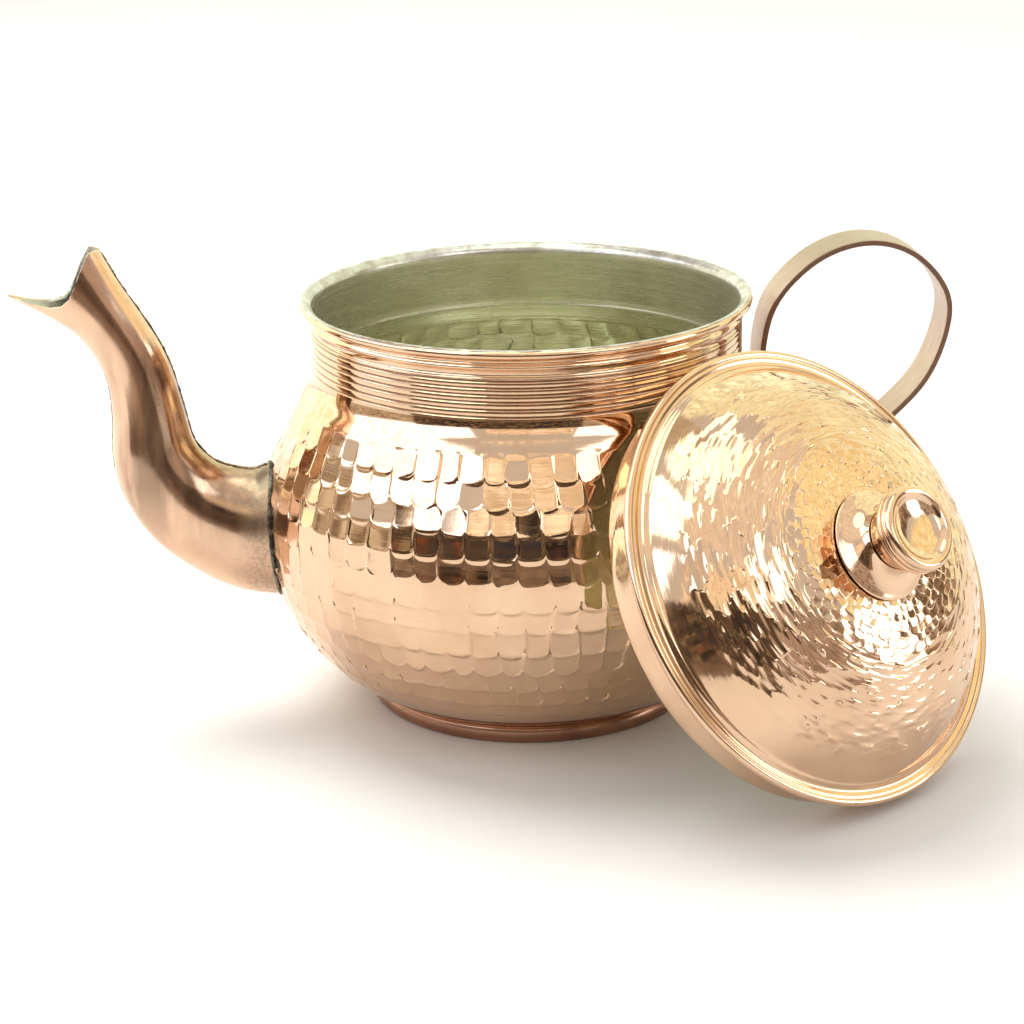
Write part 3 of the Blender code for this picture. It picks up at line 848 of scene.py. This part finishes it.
def tube(name, path, radii):
    """A closed tube along a path, with its own radius at each point round each ring."""
    along = unit(np.gradient(path, axis=0))
    first = unit(np.cross(along, [0.0, 1.0, 0.0]))
    second = np.cross(along, first)
    angle = (math.tau * np.arange(radii.shape[1]) / radii.shape[1])[:, None]
    around = first[:, None] * np.cos(angle) + second[:, None] * np.sin(angle)
    return grid_object(name, path[:, None] + around * radii[..., None], caps=True)


def noisy(count, sides, base, spread, keep=0.55):
    """Radii that wander along a tube and round it."""
    values = np.zeros((count, sides))
    last = np.zeros(sides)
    for i in range(count):
        last = keep * last + RNG.normal(0, spread, sides)
        values[i] = last
    values = 0.5 * values + 0.25 * (np.roll(values, 1, 1) + np.roll(values, -1, 1))
    return np.maximum(base + values, base * 0.35)


def make_seams(outer, looks):
    """The soldered ridges: a rough dark bead above, a thin line below, and the fillet round the root."""
    for name, look, column, base, spread, lift in SEAMS:
        ridge = outer[2:-2, column]
        path = read_at(ridge, np.linspace(0, len(ridge) - 1, 260))
        path[:, 0] *= -1
        path[:, 1] = RNG.normal(0, 0.05, len(path))
        path[:, 2] += lift
        seam = tube(f"seam_{name}", path, noisy(len(path), 10, base, spread))
        dress(seam, looks[look], "solder", "pot", f"spout_seam_{name}")
    root = both_sides(outer[:1])[0]
    ring = read_at(np.vstack([root, root[:1]]), np.arange(0, len(root), 0.5))
    away = unit((ring - (0.0, 0.0, SPOUT[0][1])) * (0.0, 1.0, 1.0))
    sides = 12
    angle = math.tau * np.arange(sides) / sides
    radii = noisy(len(ring), sides, 0.42, 0.06, 0.7)
    points = (ring + 0.12 * away)[:, None] + (radii * np.sin(angle))[..., None] * away[:, None]
    points[..., 0] -= 1.3 * radii * np.cos(angle)
    fillet = grid_object("spout_fillet", points, wrap_rows=True)
    dress(fillet, looks["solder"], "solder", "pot", "spout_solder")


# ---- handle

def make_handle(looks):
    line = smooth(STRAP_LINE, 10)
    kernel = np.array([1, 4, 6, 4, 1]) / 16
    for _ in range(6):
        line[2:-2] = np.stack([np.convolve(column, kernel, "valid") for column in line.T], axis=1)
    along = unit(np.gradient(line, axis=0))
    out = np.stack([-along[:, 1], along[:, 0]], axis=1)
    half, thick, corner = STRAP_WIDTH / 2, STRAP_THICKNESS / 2, 0.28
    across = np.array([0, 0.3, 0.55, 0.75, 0.88, 0.955, 0.985, 1.0])
    section = []
    for a in across:
        rounding = corner * max(0, (a - 0.955) / 0.045)
        section.append((half * a, thick * (1 - 0.10 * a ** 4) - rounding ** 1.5))
    section += [(half, 0.45 * thick), (half + 0.02, 0.0)]
    upper = section[1:]
    ring = [(y, t) for y, t in section] + [(y, -t) for y, t in reversed(section[:-1])]
    ring += [(-y, -t) for y, t in upper[:-1]] + [(-y, t) for y, t in reversed(upper)]
    rows = []
    for (x, z), (ox, oz), end in zip(line, out, end_rounding(line)):
        rows.append([(x + ox * t, y * end, z + oz * t) for y, t in ring])
    strap = grid_object("strap", np.array(rows), caps=True)
    work = bmesh.new()
    work.from_mesh(strap.data)
    bmesh.ops.recalc_face_normals(work, faces=work.faces)
    work.to_mesh(strap.data)
    work.free()
    sharpen(strap, 50)
    dress(strap, looks["strap"], "plain_copper", "pot", "handle_strap")


def end_rounding(line):
    """Narrows the strap over its last few millimetres, so that its ends are round."""
    length = np.concatenate([[0.0], np.cumsum(np.linalg.norm(np.diff(line, axis=0), axis=1))])
    to_end = np.minimum(length, length[-1] - length)
    share = np.minimum(to_end / STRAP_ROUNDING, 1.0)
    return 0.72 + 0.28 * np.sqrt(1 - (1 - share) ** 2)


def make_rivets(looks):
    """Round rivet heads, a little hammered, over the CAD ones."""
    curve = belly()
    low = STRAP_THICKNESS + 0.75
    tail = -WALL - 0.4
    rows = [(low + h, r) for h, r in RIVET_HEAD] + [(tail + h, r) for h, r in RIVET_TAIL]
    middle = (rows[0][0] + rows[-1][0]) / 2 * MM
    for name in ("upper_a", "upper_b", "lower_a", "lower_b"):
        corner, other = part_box(f"rivet_{name}")
        centre = (corner + other) / 2
        nr, nz = curve.at(curve.where(centre.z / MM))[2:]
        rivet = turned_object(f"rivet_head_{name}", rows, 40)
        sharpen(rivet)
        out = Vector((float(nr), 0.0, float(nz)))
        turn = out.to_track_quat("Z", "Y").to_matrix().to_4x4()
        rivet.data.transform(Matrix.Translation(centre - out * middle) @ turn)
        dress(rivet, looks["band"], "plain_copper", "pot", f"rivet_{name}")


# ---- lid

def dome_height(radius):
    return 0.6 + DOME_HEIGHT * (1.0 - (radius / DOME_RADIUS) ** DOME_POWER)


def lid_matrix():
    joint = frame["joints"][0]
    axis = Vector(joint["axis"])
    turn = axis.to_track_quat("Z", "Y").to_matrix().to_4x4()
    return Matrix.Translation(Vector(joint["pos_m"])) @ turn


def dome_rows(depth, radii):
    return [(dome_height(r) - depth, r) for r in radii]


def skirt_rows(rows):
    return [(z, LID_SKIRT_RADIUS + out) for z, out in rows]


def lid_surface(curve):
    """The length at which the dome's marks end, and what hammered() gives for them."""
    dents = list(np.linspace(15.2, 31.0, 8))
    rings_out = [31.0]
    while rings_out[-1] < 55.5:
        rings_out.append(rings_out[-1] + RNG.uniform(0.65, 1.05))
    bounds = np.interp(dents + rings_out[1:], curve.r, curve.s)
    bands = [DENTS] * (len(dents) - 1)
    side = 1
    for radius in rings_out[1:]:
        side = -side
        fade = float(np.interp(radius, (34.0, 43.0, 50.0, 56.0), (1.0, 0.8, 0.35, 0.15)))
        columns = 26 * 35.0 / radius * RNG.uniform(0.7, 1.4)
        lean = side * RNG.uniform(0.015, 0.06) * fade
        tilts = dict(tilt_round=0.004 * fade, tilt_along=0.012 * fade)
        bands.append(dict(PLANISHING, columns=columns, lean=lean, **tilts))
    return bounds[-1], hammered(curve, bounds, LID_COLUMNS, bands)


def make_lid(looks):
    place = lid_matrix()
    curve = Curve(dome_rows(0.0, np.linspace(LID_BORE, 61.3, 300)) + [(2.4, 61.75)])
    end, (points, normals, stand) = lid_surface(curve)
    outer = points + normals * stand[..., None]
    middle = dome_rows(0.0, (LID_BORE, 6.0, 10.0, 13.0, 14.6))
    rest = smooth_part(curve, end, curve.length - 0.4, 0.8)[1:] + list(LID_GROOVE)
    for a in np.radians(np.linspace(140, -140, 26)):
        rest.append((LID_BEAD_RADIUS * math.sin(a), LID_BEAD_CENTRE + LID_BEAD_RADIUS * math.cos(a)))
    rest += [(-1.0, 64.3), (-1.25, 63.6)] + skirt_rows(LID_SKIRT) + [(0.2, 61.8), (1.4, 61.2)]
    spaced = (8.0, 16.0, 25.0, 33.0, 40.0, 46.0, 51.0, 55.0, 58.0)
    rest += dome_rows(0.62, (60.0, *reversed(spaced), LID_BORE))
    shell = np.concatenate([rings(middle, LID_COLUMNS), outer, rings(rest, LID_COLUMNS)])
    lid = grid_object("lid_copper", shell, wrap_rows=True)
    lid.data.transform(place)
    dress(lid, looks["lid"], "hammered_copper", "lid", "lid_shell")

    inside = points - normals * (0.9 - 0.7 * stand)[..., None]
    skin = dome_rows(0.72, (LID_BORE, *spaced, 59.6))
    skin += [(1.2, 61.0), (-0.2, 61.7)] + skirt_rows(LID_SKIRT_TIN) + [(-0.2, 61.4), (0.9, 60.7)]
    skin += dome_rows(0.95, (59.2, 58.0))
    centre = dome_rows(0.9, (13.5, 10.0, 6.0, LID_BORE))
    skin = np.concatenate([rings(skin, LID_COLUMNS), inside[::-1], rings(centre, LID_COLUMNS)])
    lining = grid_object("lid_tin", skin, wrap_rows=True)
    lining.data.transform(place)
    dress(lining, looks["lid_tin"], "tin", "lid")
    make_knob(looks, place)


def make_knob(looks, place):
    top = dome_height(12.0)
    outer = [(top + h, r) for h, r in smooth(COLLAR[::-1], 5)]
    inner = [(top + h, r - 1.0) for h, r in (COLLAR[0],) + COLLAR[2:-1]]
    inner.append((outer[0][0] - 1.0, COLLAR[-1][1] - 1.0))
    hole = [(inner[-1][0], LID_BORE), (outer[0][0], LID_BORE)]
    collar = turned_object("collar", outer + inner + hole, 144)
    head_rows = [(top + h, r) for h, r in smooth(HEAD[::-1], 5)]
    hollow = [(head_rows[0][0] - 0.25, 0.0), (head_rows[0][0] - 0.12, 3.0)]
    bore = [(top + HEAD[0][0], LID_BORE), (top + 12.0, LID_BORE), (top + 12.0, 0.0)]
    head = turned_object("knob", hollow + head_rows + bore, 144)
    for piece, node in ((collar, "knob_collar"), (head, "knob_head")):
        sharpen(piece, 50)
        piece.data.transform(place)
        dress(piece, looks["knob"], "plain_copper", "lid", node)
    for node in ("knob_screw", "knob_washer"):
        frame["nodes"][node].data.materials.clear()
        frame["nodes"][node].data.materials.append(looks["steel"])


# ---- studio

CAMERA_PLACE = (-0.1032, -0.8405, 0.3371)
CAMERA_TURN = (71.6622, 1.0662, -6.9895)
CAMERA_LENS = 101.95

# What stands round the set and shows in the metal: left and right azimuths from the camera's side,
# low and high elevations, strength, and colours, as (share of the patches below it, red, green, blue)
WALLS = (
    ("dark", -60, 28, -3, 22, 1.0, (
        (0.0, 0.02, 0.018, 0.016), (0.26, 0.09, 0.075, 0.06), (0.46, 0.05, 0.055, 0.07),
        (0.6, 0.24, 0.17, 0.1), (0.72, 0.13, 0.1, 0.08), (0.84, 0.52, 0.42, 0.26),
        (0.94, 0.3, 0.1, 0.05),
    )),
    ("left", -106, -60, -3, 15, 1.0, (
        (0.0, 0.3, 0.22, 0.15), (0.3, 0.6, 0.5, 0.36), (0.6, 1.0, 0.92, 0.72),
    )),
    ("right", 28, 72, -3, 21, 1.0, (
        (0.0, 0.1, 0.08, 0.07), (0.22, 0.42, 0.31, 0.24), (0.45, 0.66, 0.53, 0.44),
        (0.8, 0.85, 0.76, 0.66),
    )),
    ("back", -22, 24, 22, 37, 1.0, (
        (0.0, 0.85, 0.68, 0.47), (0.3, 1.2, 1.05, 0.8), (0.65, 1.7, 1.6, 1.35),
    )),
    ("window", -106, -30, 18, 42, 3.6, (
        (0.0, 0.72, 0.82, 1.0), (0.35, 0.95, 0.97, 1.0), (0.7, 0.42, 0.45, 0.58),
    )),
    ("day", -170, -106, -3, 34, 2.0, ((0.0, 1.0, 1.0, 0.92), (0.5, 0.8, 0.82, 0.6))),
    ("pane", 26, 54, 23, 42, 3.2, ((0.0, 0.9, 0.95, 1.0), (0.5, 0.8, 0.8, 0.8))),
    ("lamp", 72, 90, -3, 19, 4.5, ((0.0, 0.9, 0.95, 1.0), (0.6, 0.7, 0.75, 0.8))),
    ("door", 90, 109, -3, 17, 1.0, (
        (0.0, 0.1, 0.07, 0.05), (0.4, 0.3, 0.21, 0.14), (0.7, 0.75, 0.6, 0.45),
    )),
    ("cream", 109, 196, -3, 62, 1.3, ((0.0, 1.0, 1.1, 0.8), (0.4, 0.8, 0.8, 0.56), (0.8, 1.4, 1.5, 1.2))),
    ("gold", 74, 109, 20, 44, 1.1, (
        (0.0, 1.15, 1.05, 0.58), (0.5, 0.95, 0.85, 0.48), (0.75, 1.6, 1.5, 1.1),
    )),
    ("skylight", -84, -30, 48, 68, 4.5, ((0.0, 0.85, 0.98, 0.92), (0.6, 0.58, 0.64, 0.48))),
    ("ceiling", -28, 108, 46, 70, 1.0, (
        (0.0, 0.95, 0.88, 0.8), (0.5, 1.15, 1.05, 0.9), (0.8, 1.6, 1.5, 1.3),
    )),
    ("top", -180, 180, 71, 89, 3.4, ((0.0, 0.9, 1.0, 0.95), (0.55, 0.48, 0.52, 0.38))),
    ("far", 196, 240, 45, 72, 1.0, ((0.0, 0.6, 0.5, 0.38), (0.5, 0.8, 0.72, 0.55))),
)
WALL_DISTANCE = 1.6
WALL_CENTRE = 0.06
# Where the white table ends in front of the pot: distance, and azimuths
TABLE_EDGE = 0.44
TABLE_SIDES = (-60, 30)
BEYOND_TABLE = ((0.0, 0.10, 0.075, 0.06), (0.35, 0.30, 0.22, 0.16), (0.65, 0.50, 0.38, 0.28))
WORLD_COLOUR = (1.0, 1.0, 0.985, 1.0)
WORLD_STRENGTH = 0.82
FLOOR_COLOUR = (0.93, 0.915, 0.89, 1.0)
LAMP_PLACE = (-0.34, 0.56, 1.2)
LAMP_COLOUR = (1.0, 0.99, 0.95)
LAMP_SIZE = 0.8
LAMP_ENERGY = 15.0


def clutter(name, colours, strength):
    """A glow in upright patches, each with one of the colours, as things on the shelves of a room look."""
    made = bpy.data.materials.new(name)
    made.use_nodes = True
    tree = made.node_tree
    tree.nodes.clear()
    place = tree.nodes.new("ShaderNodeTexCoord")
    stretch = tree.nodes.new("ShaderNodeMapping")
    stretch.inputs["Scale"].default_value = (7.0, 7.0, 4.5)
    cells = tree.nodes.new("ShaderNodeTexVoronoi")
    cells.distance = "CHEBYCHEV"
    parts = tree.nodes.new("ShaderNodeSeparateColor")
    ramp = tree.nodes.new("ShaderNodeValToRGB")
    ramp.color_ramp.interpolation = "CONSTANT"
    for share, *colour in colours:
        stop = ramp.color_ramp.elements[0] if share == 0.0 else ramp.color_ramp.elements.new(share)
        stop.color = (*colour, 1.0)
    ramp.color_ramp.elements.remove(ramp.color_ramp.elements[-1])
    glow = tree.nodes.new("ShaderNodeEmission")
    glow.inputs["Strength"].default_value = strength
    out = tree.nodes.new("ShaderNodeOutputMaterial")
    tree.links.new(place.outputs["Object"], stretch.inputs["Vector"])
    tree.links.new(cells.outputs["Color"], parts.inputs[0])
    for node, after in ((stretch, cells), (parts, ramp), (ramp, glow), (glow, out)):
        tree.links.new(node.outputs[0], after.inputs[0])
    return made


def reflected_only(name, left, right, rims, look):
    """
    A curved sheet round the set, seen only in reflections, between two rims given as
    (distance, height). Azimuth 0 is behind the camera, positive to its right.
    """
    towards = math.atan2(CAMERA_PLACE[1], CAMERA_PLACE[0])
    angles = towards + np.radians(np.linspace(left, right, 49))
    points, faces = [], []
    for a in angles:
        for flat, height in rims:
            points.append((flat * math.cos(a), flat * math.sin(a), height))
    for i in range(len(angles) - 1):
        faces.append((2 * i, 2 * i + 2, 2 * i + 3, 2 * i + 1))
    wall = mesh_object(name, points, faces)
    wall.data.materials.append(look)
    wall.visible_camera = False
    wall.visible_shadow = False
    wall.visible_diffuse = False


def make_world():
    world = bpy.data.worlds.new("studio")
    bpy.context.scene.world = world
    world.use_nodes = True
    background = world.node_tree.nodes["Background"]
    background.inputs["Color"].default_value = WORLD_COLOUR
    background.inputs["Strength"].default_value = WORLD_STRENGTH


def make_floor():
    bpy.ops.mesh.primitive_plane_add(size=16.0)
    floor = bpy.context.object
    floor.name = "floor"
    look = bpy.data.materials.new("floor")
    look.use_nodes = True
    shader = look.node_tree.nodes["Principled BSDF"]
    shader.inputs["Base Color"].default_value = FLOOR_COLOUR
    shader.inputs["Roughness"].default_value = 0.6
    shader.inputs["Specular IOR Level"].default_value = 0.15
    floor.data.materials.append(look)


def make_lamp():
    lamp = bpy.data.lights.new("lamp", "AREA")
    lamp.size = LAMP_SIZE
    lamp.energy = LAMP_ENERGY
    lamp.color = LAMP_COLOUR
    hung = bpy.data.objects.new("lamp", lamp)
    hung.location = LAMP_PLACE
    hung.rotation_euler = (-hung.location).to_track_quat("-Z", "Y").to_euler()
    hung.visible_glossy = False
    bpy.context.scene.collection.objects.link(hung)


def make_walls():
    for name, left, right, low, high, strength, colours in WALLS:
        rims = []
        for turn in np.radians((low, high)):
            rims.append((WALL_DISTANCE * math.cos(turn), WALL_CENTRE + WALL_DISTANCE * math.sin(turn)))
        reflected_only(f"wall_{name}", left, right, rims, clutter(f"wall_{name}", colours, strength))
    rims = [(TABLE_EDGE, 0.002), (WALL_DISTANCE, 0.002)]
    reflected_only("table_edge", *TABLE_SIDES, rims, clutter("table_edge", BEYOND_TABLE, 1.0))


def make_camera():
    scene = bpy.context.scene
    camera = bpy.data.cameras.new("camera")
    camera.lens = CAMERA_LENS
    camera.sensor_width = 36.0
    camera.clip_start = 0.01
    holder = bpy.data.objects.new("camera", camera)
    holder.location = CAMERA_PLACE
    holder.rotation_euler = [math.radians(a) for a in CAMERA_TURN]
    scene.collection.objects.link(holder)
    scene.camera = holder
    scene.view_settings.view_transform = "Standard"


def main():
    place = lid_matrix()
    looks = {
        "pot": copper("pot_copper", COPPER, COPPER_DEEP, 0.055, (700.0, 12.0), 0.00001, grooved=True),
        "lid": copper("lid_copper", COPPER, COPPER_DEEP, 0.07, (900.0, 25.0), 0.00002, place=place),
        "knob": copper("knob_copper", COPPER, COPPER_DEEP, 0.08, (1200.0, 20.0), 0.00001, 0.02, place),
        # The base band's dark colour is partly the band's own duller copper and partly painted shade under
        # the belly's overhang; the rivet heads share this look.
        "band": copper("band_copper", (0.42, 0.23, 0.15), (0.30, 0.15, 0.10), 0.2, (1500.0, 20.0), 0.00003),
        "spout": spout_copper("spout_copper"),
        "strap": strap_copper("strap_copper"),
        "tin": tin("tin", TIN, rim=RUBBED_FROM),
        "spout_tin": tin("spout_tin", SPOUT_TIN),
        "lid_tin": tin("lid_tin", TIN, place),
        "solder": solder("solder", (0.26, 0.25, 0.20), (0.05, 0.045, 0.04), 0.5),
        "flux": solder("flux", (0.46, 0.32, 0.21), (0.11, 0.08, 0.055), 0.50),
        "seam": solder("seam", (0.55, 0.42, 0.34), (0.22, 0.16, 0.13), 0.45),
        "steel": steel("steel"),
    }
    make_world()
    make_floor()
    make_lamp()
    make_walls()
    make_camera()
    make_pot(looks)
    make_spout(looks)
    make_handle(looks)
    make_rivets(looks)
    make_lid(looks)


main()
